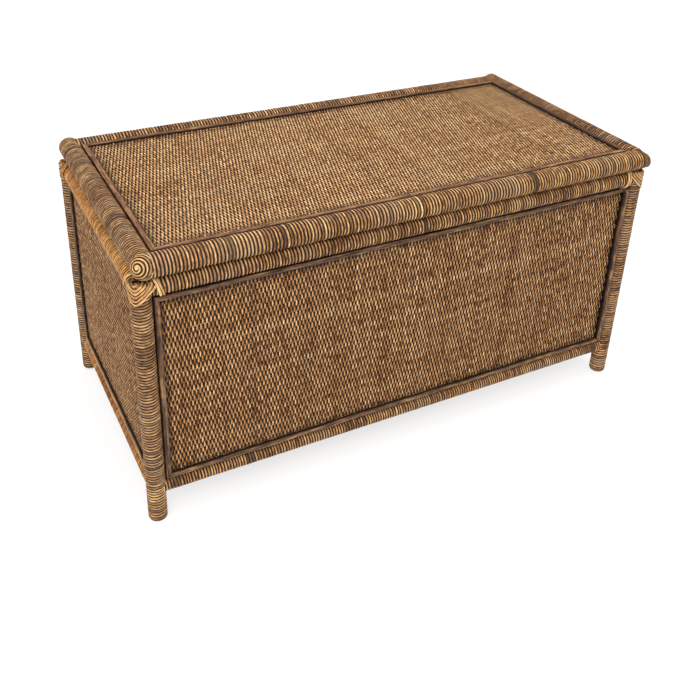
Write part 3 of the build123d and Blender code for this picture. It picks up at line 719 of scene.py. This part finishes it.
def band(path, normals, number, chance):
    """A strip of cane laid along a path, which runs through the middle of its thickness. Its own colour
    is a draw from chance, and nothing of it stands above the posts' tops."""
    sides = np.cross(normals, unit(np.gradient(path, axis=0)))
    low = path - BAND_THICKNESS / 2 * normals
    points = strip_section(BAND_WIDTH, BAND_THICKNESS, sides, normals, low)
    points[..., 2] = np.minimum(points[..., 2], POST_TOP + 1.2 * MM)
    tone = np.clip(0.56 + 0.12 * chance.standard_normal(), 0, 1)
    return Strand(points, distance_along(path), STRIP_ACROSS, number, tone)


def bare_pole(start, end, radius, seed):
    """A bare rattan pole, straight and slightly uneven in thickness, with knots."""
    chance = np.random.default_rng(seed)
    length = np.linalg.norm(end - start)
    steps = max(24, int(length / (3.2 * MM)))
    share = np.linspace(0, 1, steps)
    path = start + share[:, None] * (end - start)
    swell = ripple(share * length, seed, 0.23, 0.02)
    dark = np.zeros(steps)
    for knot in np.arange(chance.uniform(0.05, 0.15), length, POLE_KNOTS):
        away = (share * length - knot - chance.uniform(-0.02, 0.02)) / (2.2 * MM)
        swell += 0.045 * np.exp(-(away / 2.2) ** 2) - 0.05 * np.exp(-(away / 0.6) ** 2)
        dark = np.maximum(dark, 0.75 * np.exp(-away**2))
    up = Y if abs((end - start) @ Z) > 0.5 * length else Z
    radii = radius * np.minimum(1.0, 0.965 + swell)
    bar = tube(path, radii, up, 20, seed, 0.5 + 0.2 * chance.standard_normal(), dark)
    bar.strand[..., 1] *= 0.6
    return bar


# ---------- corners of the box

BAND_COUNT = 6
BAND_STEP = 6.2 * MM  # from one band to the next, up the post
BAND_WIDTH = 4.9 * MM
BAND_THICKNESS = 1.7 * MM
BAND_SLOPE = 0.95  # how a band climbs as it goes round, away from the outer corner
BAND_BEND = 4.0 * MM  # the distance over which it turns, at the outer corner
BAND_LOW = 431.0 * MM  # where the lowest band passes the outer corner
TUCK_FROM = 461.5 * MM  # above this, a band bends in over the post's rim
TUCK_TO = 466.0 * MM
TUCK_DEPTH = 0.4  # of the post's radius
CROSSING_AT = 17.0 * MM  # the crossing strips pass over a rail's top, this far from the post's axis
CROSSING_RUN = 14.0 * MM  # and move this much further along it as they come down its side
CROSSING_STRIPS = 2
CROSSING_RISE = 1.2 * MM  # and they lie this far above its binding
MOVE_OVER = 1.5 * MM  # a band goes over from post to rail while its distance from the post grows by this
SETTLING = 60  # rounds in which a band's height and its distance from the post's axis settle
SOFTENING = 17  # points of a band that are averaged, so that it bends softly


def band_line(low, slope, rail_z):
    """The middle line of one band and its normals, in a corner's own frame, where a and b run inwards
    along X and Y from the post's axis. It passes the outer corner at the height low."""
    turn = np.radians(np.linspace(-132, 132, 240))
    a_way, b_way = -np.cos(turn + math.pi / 4), -np.sin(turn + math.pi / 4)
    radius = np.full_like(turn, POST_RADIUS)
    for _ in range(SETTLING):
        steps = np.hypot(np.diff(a_way * radius), np.diff(b_way * radius))
        run = np.concatenate([[0], np.cumsum(steps)])
        run -= np.interp(0, turn, run)
        z = low + slope * (np.sqrt(run**2 + BAND_BEND**2) - BAND_BEND)
        half = np.sqrt(np.clip(TOP_RADIUS**2 - (z - rail_z) ** 2, 0, None))
        on_x = np.where((a_way > 0) & (b_way < 0), half / np.maximum(-b_way, 0.08), 0)
        on_y = np.where((b_way > 0) & (a_way < 0), half / np.maximum(-a_way, 0.08), 0)
        radius = 0.5 * radius + 0.5 * np.maximum(POST_RADIUS, np.maximum(on_x, on_y))
    tuck = np.clip((z - TUCK_FROM) / (TUCK_TO - TUCK_FROM), 0, None)
    keep = tuck < 1
    tuck = tuck * (1 - eased((radius - POST_RADIUS) / MOVE_OVER))
    radius = radius - TUCK_DEPTH * POST_RADIUS * tuck**2
    z = np.minimum(z, TUCK_TO)
    a, b = a_way * radius, b_way * radius
    down = np.clip((rail_z + TOP_RADIUS - z) / (2 * TOP_RADIUS), 0, 1)
    keep &= np.maximum(a, b) < CROSSING_AT + 5 * MM + CROSSING_RUN * down
    a, b, z, radius = (part[keep] for part in (a, b, z, radius))
    on_rail = eased((radius - POST_RADIUS) / MOVE_OVER)[:, None]
    rail_normal = np.stack([np.where(a < b, a, 0), np.where(a < b, 0, b), z - rail_z], axis=1) / TOP_RADIUS
    post_normal = np.stack([a, b, 0 * a], axis=1) / radius[:, None]
    return np.stack([a, b, z], axis=1), post_normal * (1 - on_rail) + rail_normal * on_rail


def softened(rows):
    """A line's points, each one averaged with those beside it, and thinned out."""
    weights = np.hanning(SOFTENING) / np.hanning(SOFTENING).sum()
    rows = np.pad(rows, ((SOFTENING // 2,) * 2, (0, 0)), "edge")
    return np.stack([np.convolve(rows[:, axis], weights, "valid") for axis in range(3)], axis=1)[4:-4:3]


def corner_bands(x_sign, y_sign, index, post, rail_z):
    """Cane lashed over a post and its two top rails: low round the outer corner, rising to each rail."""
    chance = np.random.default_rng(400 + index)
    flip = np.array([-x_sign, -y_sign, 1.0])
    strands = []
    for number in range(BAND_COUNT):
        low = BAND_LOW + number * BAND_STEP + 0.3 * MM * chance.standard_normal()
        slope = BAND_SLOPE * (1 + 0.03 * chance.standard_normal())
        path, normals = (softened(rows) for rows in band_line(low, slope, rail_z))
        path, normals = path * flip, unit(normals) * flip
        if x_sign * y_sign < 0:
            path, normals = path[::-1], normals[::-1]
        path = path + post + (0.55 * MM + 0.14 * MM * (number % 3)) * normals
        strands.append(band(path, normals, number * 1.7 + index, chance))
    return strands


def rail_crossings(x_sign, y_sign, index, post, rail_z):
    """Strips that cross over each top rail beside the post, the other way from the bands."""
    chance = np.random.default_rng(430 + index)
    turn = np.radians(np.linspace(84, -82, 40))
    share = (math.pi / 2 - turn) / math.pi
    strands = []
    for axis, sign, out in ((X, -x_sign, y_sign * Y), (Y, -y_sign, x_sign * X)):
        for number in range(CROSSING_STRIPS):
            along = CROSSING_AT + (BAND_WIDTH - 0.2 * MM) * number + CROSSING_RUN * share
            radial = np.cos(turn)[:, None] * out + np.sin(turn)[:, None] * Z
            path = post + rail_z * Z + sign * along[:, None] * axis + (TOP_RADIUS + CROSSING_RISE) * radial
            if number == 0:
                path = path + 0.35 * MM * radial
            strands.append(band(path, radial, 20 + number, chance))
    return strands


for index, (name, x_sign, y_sign) in enumerate(CORNERS):
    corner = (x_sign, y_sign, index, middle(f"post_{name}") * (1, 1, 0), middle("top_rail_front")[2])
    strands = corner_bands(*corner) + rail_crossings(*corner)
    build(f"corner_lashing_{name}", "box", "cane_binding", "lashing", strands, "corner_lashings")

# ---------- woven mats

BEAD_WIDTH = 11.5 * MM
STRAND_THICKNESS = 0.75 * MM
STAKE_RADIUS = 0.8 * MM
STAKE_SHADE = 0.85  # painted shade on the stakes, which show only in the gaps under the strands
STEPS_PER_STAKE = 4
BEAD_SIDE_DARKENING = 0.6  # how much darker the cane is beside the beads
BEAD_SIDE_REACH = 6.0 * MM
# The greatest painted shade where a strand dips under a stake, with some staining.
DEEPEST_UNDERPASS_SHADE = 0.97
NARROW, WIDER = 0.68, 0.53  # a strand's width in pitches where it dips under, and its gain where it is over
UNEVEN_PHASE = 0.10
UNEVEN_STRANDS = 0.10  # how the tone changes from strand to strand, and from stake to stake along one
UNEVEN_SPOTS = 0.15
ROW_TONE = 0.045  # how the strands' tones change from one stake to the next, all across the mat
PALE_ROWS = 0.07  # this share of them is lighter, by PALE_ROW
PALE_ROW = 0.12


# Each mat's two directions and its way out.
MATS = {"front": (X, Z, -Y), "back": (-X, Z, Y), "left": (-Y, Z, -X), "right": (Y, Z, X), "lid": (X, Y, Z)}


def weave(node, right, up, out, pitch, stake_pitch, thickness, seed, darkest):
    """Flat strands along the mat's up direction, woven over and under round stakes across it. Each
    strand gets painted shade, with some staining, that deepens from the height darkest, of 1, down to its
    underpasses."""
    chance = np.random.default_rng(seed)
    low, high = box(node)
    margin = 0.3 * BEAD_WIDTH
    width, height = (abs((high - low) @ way) - 2 * margin for way in (right, up))
    columns = int(width / pitch)
    stakes = int(height / stake_pitch)
    height = stakes * stake_pitch
    centre = (low + high) / 2 + out * (abs((high - low) @ out) / 2) - out * thickness / 2
    sway = (thickness - STRAND_THICKNESS) / 2
    rows = stakes * STEPS_PER_STAKE + 1
    along = np.linspace(-height / 2, height / 2, rows)
    crossing = (along + height / 2) / stake_pitch
    section_across = np.array([-1.0, -0.55, 0.55, 1.0])
    rise = (np.array([-0.35, 0.5, 0.5, -0.35]) * STRAND_THICKNESS)[None, :, None] * out
    strands = []
    drift = np.cumsum(0.05 * chance.standard_normal(columns))
    drift -= np.linspace(drift[0], drift[-1], columns)
    row_tones = ROW_TONE * chance.standard_normal(stakes + 1)
    row_tones += PALE_ROW * (chance.random(stakes + 1) < PALE_ROWS)
    for column in range(columns):
        place = ((column + 0.5) - columns / 2) * width / columns
        phase = math.pi * (column % 2) + UNEVEN_PHASE * chance.standard_normal()
        wave = np.cos(math.pi * crossing + phase)
        lift = sway * np.tanh(1.4 * wave) / math.tanh(1.4)
        side = place + ripple(along, seed * 1000 + column, 0.11, 0.12 * MM) + drift[column] * 0.4 * MM
        swell = NARROW + WIDER * eased((wave + 0.6) / 1.2)
        half = 0.5 * pitch * (1 + 0.05 * chance.standard_normal()) * swell
        line = centre + along[:, None] * up + side[:, None] * right + lift[:, None] * out
        across = (section_across[None] * half[:, None])[..., None] * right
        tone = 0.5 + UNEVEN_STRANDS * chance.standard_normal()
        spots = row_tones + UNEVEN_SPOTS * chance.standard_normal(stakes + 1)
        tones = np.clip(tone + np.interp(crossing, np.arange(stakes + 1), spots), 0, 1)
        dull = 0.42 * max(0, ripple(np.array([place]), seed + 7, 0.05, 1)[0]) if chance.random() < 0.3 else 0
        from_edge = np.minimum(width / 2 - abs(place), height / 2 - np.abs(along)) - BEAD_WIDTH
        beside_beads = BEAD_SIDE_DARKENING * np.exp(-np.clip(from_edge, 0, None) / BEAD_SIDE_REACH)
        dull = np.maximum(dull, beside_beads * np.clip(1 + 0.5 * chance.standard_normal(rows), 0, 1.4))
        # Painted shade, deepening down towards the underpasses.
        deep = DEEPEST_UNDERPASS_SHADE * eased((darkest - wave) / 0.6)
        strands.append(Strand(line[:, None] + across + rise, along + height, section_across,
                              column * 0.61, tones, dull, deep))
    bars = []
    ends = np.array([-1.0, -0.33, 0.33, 1.0])[:, None] * right * width / 2
    for stake in range(stakes + 1):
        bar = centre + (-height / 2 + stake * stake_pitch) * up + ends
        bars.append(tube(bar, STAKE_RADIUS, out, 6, stake, 0.4, depth=STAKE_SHADE))
    return strands, bars


# For the lid and the sides: body, slot and material, then the strands' pitch, the stakes' pitch and the
# weave's thickness, and darkest.
LID_WEAVE = (("lid", "woven_top", "weave_lid"), (3.02 * MM, 9.84 * MM, 2.6 * MM), 0.2)
SIDE_WEAVE = (("box", "woven_side", "weave_side"), (3.25 * MM, 10.14 * MM, 3.0 * MM), 0.26)
PARTS = {"lid": 3, "front": 2, "back": 2, "left": 1, "right": 1}  # pieces that a mat's strands are split into
for index, (name, ways) in enumerate(MATS.items()):
    rider, sizes, darkest = LID_WEAVE if name == "lid" else SIDE_WEAVE
    strands, stakes = weave(f"woven_mat_{name}", *ways, *sizes, 500 + 10 * index, darkest)
    for part in range(PARTS[name]):
        share = strands[part * len(strands) // PARTS[name] : (part + 1) * len(strands) // PARTS[name]]
        label = f"woven_strands_{name}" + (f"_{part + 1}" if PARTS[name] > 1 else "")
        build(label, *rider, share, f"woven_mat_{name}")
    build(f"woven_stakes_{name}", *rider, stakes)

# ---------- beads

BEAD_KNOTS = 0.26  # from one knot to the next
BEAD_WANDER = 0.6 * MM
BEAD_FILLS = 0.94  # the cane's width, as a share of its strip's
NO_BULGES = (0, 0, 0, 0)


def bead(origin, run, side, out, half_length, offset, width, height, seed, tone, mitre):
    """One mitred strip of split cane. side points from the strip to the panel's outer edge, and tone is
    how light it is."""
    chance = np.random.default_rng(seed)
    steps = int(2 * half_length / (4.5 * MM))
    share = np.linspace(-1, 1, steps)
    angles = np.linspace(math.pi, 0, 9)
    across = np.cos(angles)
    lift = np.sin(angles) ** 0.85
    lift[0] = lift[-1] = 0.0
    along = share[:, None] * (half_length - (1 - across) / 2 * mitre)[None]
    centre = along[:, 4]
    wander = ripple(centre, seed, 0.21, BEAD_WANDER) * (1 - share**8)
    swell = 1 + ripple(centre, seed + 1, 0.11, 0.07)
    dark = np.zeros(steps)
    for knot in np.arange(-half_length + chance.uniform(0.05, 0.2), half_length, BEAD_KNOTS):
        away = (centre - knot - chance.uniform(-0.03, 0.03)) / (2.4 * MM)
        swell += 0.05 * np.exp(-(away / 2) ** 2)
        dark = np.maximum(dark, 0.6 * np.exp(-away**2))
    shape = BEAD_FILLS * across[None] * width / 2 + wander[:, None]
    rise = lift[None] * height * np.minimum(swell, 1.06)[:, None] - 0.2 * MM
    points = origin + along[..., None] * run + (offset + shape)[..., None] * side + rise[..., None] * out
    if np.cross(run, side) @ out > 0:
        points = points[:, ::-1]
    return Strand(points, centre + half_length, across, seed * 0.1, tone, dark)


def bead_frame(label, node, right, up, out, width, seed, tones, bulges=NO_BULGES):
    """Four strips round a panel: bottom, top, left and right. A strip's bulge makes it taller, and wider
    on its outer side."""
    low, high = box(node)
    half_x, half_y, height = (abs((high - low) @ way) for way in (right / 2, up / 2, out))
    origin = (low + high) / 2 - out * height / 2
    sides = ((right, -up, half_x, half_y), (right, up, half_x, half_y),
             (up, -right, half_y, half_x), (up, right, half_y, half_x))
    strands = []
    for number, ((run, side, half, offset), bulge, tone) in enumerate(zip(sides, bulges, tones)):
        strands.append(bead(origin, run, side, out, half, offset + (bulge / 2 - width) / 2, width + bulge / 2,
                            height + bulge, seed + 7 * number, tone, width))
    body, look = ("lid", "bead_lid") if node.endswith("lid") else ("box", "bead")
    build(label, body, "split_cane_bead", look, strands, node)


# How light each frame's strips are: bottom, top, left and right ones, as seen from outside.
BEAD_TONES = {
    "front": (0.48, 0.42, 0.46, 0.44),
    "back": (0.54, 0.45, 0.4, 0.45),
    "left": (0.75, 0.5, 0.45, 0.55),
    "right": (0.55, 0.45, 0.45, 0.45),
    "lid": (0.55, 0.46, 0.55, 0.25),
}
BEAD_BULGES = {"front": (0, 0, 0, 5.0 * MM)}  # its right strip is thicker cane, and hides part of its post
for index, (name, ways) in enumerate(MATS.items()):
    bead_frame(f"beads_{name}", f"bead_frame_{name}", *ways, BEAD_WIDTH, 600 + 40 * index, BEAD_TONES[name],
               BEAD_BULGES.get(name, NO_BULGES))

# ---------- bare rattan


def bare_family(node, axis, count, radius, seed):
    """Bare poles that stand for one CAD node: count of them, side by side along X."""
    low, high = box(node)
    strands = []
    for number in range(count):
        place = (low + high) / 2
        if count > 1:
            place[0] = np.linspace(low[0] + radius, high[0] - radius, count)[number]
        start, end = (place + (limit @ axis - place @ axis) * axis for limit in (low, high))
        strands.append(bare_pole(start, end, radius, seed + number))
    body = "lid" if node.startswith("lid") else "box"
    build("rattan_" + node.replace("lid_", ""), body, "bare_rattan", "bare", strands, node)


bare_family("uprights_front", Z, 2, UPRIGHT_RADIUS, 700)
bare_family("uprights_back", Z, 2, UPRIGHT_RADIUS, 710)
bare_family("upright_left", Z, 1, UPRIGHT_RADIUS, 720)
bare_family("upright_right", Z, 1, UPRIGHT_RADIUS, 730)
bare_family("floor_bearers", Y, 3, BEARER_RADIUS, 740)
BATTENS = ("lid_batten_left", "lid_batten_middle", "lid_batten_right")
for number, node in enumerate(BATTENS):
    bare_family(node, Y, 1, BATTEN_RADIUS, 750 + 5 * number)

# The battens' ends are bound with a few turns of cane, up to the panel.
LASHING_LENGTH = 14 * MM
LASHING_PITCH = 4.6 * MM
lashings = []
panel_under = box("lid_panel")[0][2]
for number, node in enumerate(BATTENS):
    low, high = box(node)
    for end, start in enumerate((low[1], high[1] - LASHING_LENGTH)):
        outline = ([start, start + LASHING_LENGTH], [BATTEN_RADIUS + 1.5 * MM] * 2)
        turns = wind(middle(node) * (1, 0, 1), Y, Z, outline, LASHING_PITCH, 800 + 2 * number + end,
                     number=number + 0.4 * end)
        turns.points[..., 2] = np.minimum(turns.points[..., 2], panel_under - 0.1 * MM)
        lashings.append(turns)
build("batten_lashing_turns", "lid", "cane_binding", "winding", lashings, "batten_lashings")

# The thin bead round the lid's underside.
bead_frame("under_beads_lid", "under_bead_lid", X, -Y, -Z, 7.0 * MM, 640, (0.45, 0.45, 0.45, 0.45))

# ---------- stay cord

CORD_RADIUS = 1.2 * MM
# From each screw eye, a point near it, and the end at the fold of the slack cord.
STAY_ROUTES = {
    "stay_lower": ((0.447, 0.0873, 0.4487), (0.447, 0.0732, 0.4436), (0.447, -0.1087, 0.3776)),
    "stay_upper": ((0.444, -0.0135, 0.4764), (0.444, -0.0239, 0.4657), (0.444, -0.1091, 0.3782)),
}
LOOP_REACH = 5.2  # how far the loop at a screw eye reaches along the cord, and aside of it, in mm
LOOP_ASIDE = 2.0
LOOP_RADIUS = 0.55 * MM


def make_stay(body, node, seed):
    """One length of the stay: a smooth cord, with a knotted loop at its eye."""
    route = np.array(STAY_ROUTES[body])
    data = bpy.data.curves.new(body, "CURVE")
    data.dimensions = "3D"
    data.bevel_depth = CORD_RADIUS
    data.bevel_resolution = 5
    data.resolution_u = 12
    spline = data.splines.new("NURBS")
    spline.points.add(len(route) - 1)
    for point, place in zip(spline.points, route):
        point.co = (*place, 1)
    spline.order_u = 3
    spline.use_endpoint_u = True
    data.use_fill_caps = True
    data.materials.append(MAT["cord"])
    cord = put(f"{body}_cord", data)
    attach(cord, body)
    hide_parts(node)
    length = np.linalg.norm(route[-1] - route[0])
    ahead = (route[-1] - route[0]) / length
    outline = ([2 * MM, 10 * MM], [2.3 * MM] * 2)
    whipping = wind(route[0], ahead, X, outline, 2.0 * MM, seed, number=2.0, thickness=1.2 * MM)
    turn = np.linspace(0, 2 * math.pi, 28)[:, None]
    squared = [np.sign(way) * np.abs(way) ** 0.6 for way in (np.cos(turn), np.sin(turn))]
    # The loop goes round the side of the eye's ring.
    aside = LOOP_ASIDE * squared[1] - 2.12 * (1 - squared[0])
    loop_path = route[0] + (LOOP_REACH * squared[0] - 2.8) * MM * ahead + aside * MM * X
    loop = tube(loop_path, LOOP_RADIUS, np.cross(ahead, X), number=3.0)
    tie = build(f"{body}_knot", body, "stay_cord", "cord", [whipping, loop])


def cord_material():
    """Grey braided cord."""
    m = Nodes("stay_cord_braid")
    place = m.place()
    grain = m.noise(m.scaled(place, 700.0, 700.0, 700.0), 1.0, 2.0)
    colour = m.mix(grain, (96, 92, 84), (150, 145, 132))
    return m.finish(colour, 0.8, m.bump(grain, 0.0004, 0.7))


MAT["cord"] = cord_material()
make_stay("stay_lower", "stay_cord_lower", 901)
make_stay("stay_upper", "stay_cord_upper", 902)

# ---------- materials of the CAD's own pieces

# The others are the poles' cores.
NODE_LOOKS = {"wall": "ply", "floor_panel": "ply_lid", "lid_panel": "ply_lid", "hinge_screws": "screw",
              "hinge": "hinge", "stay_eye": "eye"}
for node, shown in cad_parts.items():
    if not shown.hide_render:
        look = next((look for start, look in NODE_LOOKS.items() if node.startswith(start)), "core")
        shown.data.materials.clear()
        shown.data.materials.append(MAT[look])

# ---------- floor and light

FLOOR_REACH = 9.0
FLOOR_GLOW = 0.7  # light of its own makes the floor as bright as white paper, with only a faint shadow


def make_floor():
    mesh = bpy.data.meshes.new("floor")
    corners = [(x * FLOOR_REACH, y * FLOOR_REACH, 0) for x, y in ((-1, -1), (1, -1), (1, 1), (-1, 1))]
    mesh.from_pydata(corners, [], [(0, 1, 2, 3)])
    m = Nodes("pale_floor")
    soft = m.noise(m.place(), 2.0)
    m.finish(m.mix(soft, (158, 158, 158), (162, 162, 162)), 0.9, specular=0.1)
    m.shader.inputs["Emission Color"].default_value = (1, 1, 1, 1)
    m.shader.inputs["Emission Strength"].default_value = FLOOR_GLOW
    mesh.materials.append(m.material)
    put("floor", mesh)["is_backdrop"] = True


def area_light(name, place, target, size, power, colour=(1, 1, 1)):
    data = bpy.data.lights.new(name, "AREA")
    data.shape = "RECTANGLE"
    data.size, data.size_y = size
    data.energy = power
    data.color = colour
    made = put(name, data)
    made.location = place
    made.rotation_euler = (Vector(target) - Vector(place)).to_track_quat("-Z", "Y").to_euler()


def make_light():
    world = bpy.data.worlds.new("studio")
    world.use_nodes = True
    background = world.node_tree.nodes["Background"]
    background.inputs["Color"].default_value = (1, 1, 1, 1)
    background.inputs["Strength"].default_value = 0.85
    bpy.context.scene.world = world
    area_light("key", (-1.6, -2.2, 2.9), (0, 0, 0.3), (1.6, 1.6), 60, (1.0, 0.98, 0.95))
    area_light("top", (0.6, 0.2, 3.2), (0, 0, 0.3), (2.4, 2.4), 40)
    bpy.context.scene.view_settings.view_transform = "Standard"


make_floor()
make_light()

# ---------- sizes, and the end

low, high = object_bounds()
